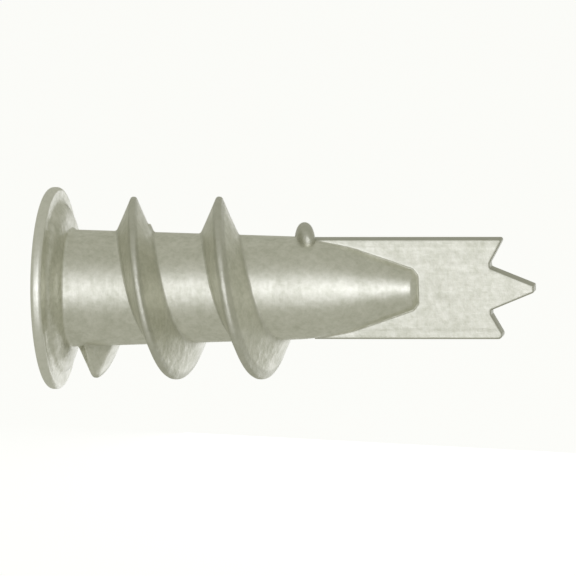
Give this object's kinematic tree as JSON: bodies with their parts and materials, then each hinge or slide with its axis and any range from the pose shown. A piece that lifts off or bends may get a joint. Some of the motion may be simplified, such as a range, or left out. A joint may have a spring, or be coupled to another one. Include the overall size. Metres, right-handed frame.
{
  "type": "self-drilling plasterboard anchor",
  "caption": "Metal wall anchor with a round flange, a tapered hollow barrel with a coarse screw thread, and a flat pointed drill blade at its tip.",
  "frame": {"origin": "on the anchor's axis, in the plane of the flange's flat land that presses on the wall", "axes": "+X along the axis into the wall, towards the drill point; +Z in the plane of the flat blade, towards one spur; Y across the blade's thickness"},
  "size_m": [0.038, 0.0156, 0.0156],
  "materials": {
    "cast_zinc": "satin"
  },
  "bodies": {
    "root": {"flange": "cast_zinc", "barrel": "cast_zinc", "thread": "cast_zinc", "nose": "cast_zinc", "blade": "cast_zinc", "centre_point": "cast_zinc", "spur_upper": "cast_zinc", "spur_lower": "cast_zinc"}
  },
  "joints": []
}
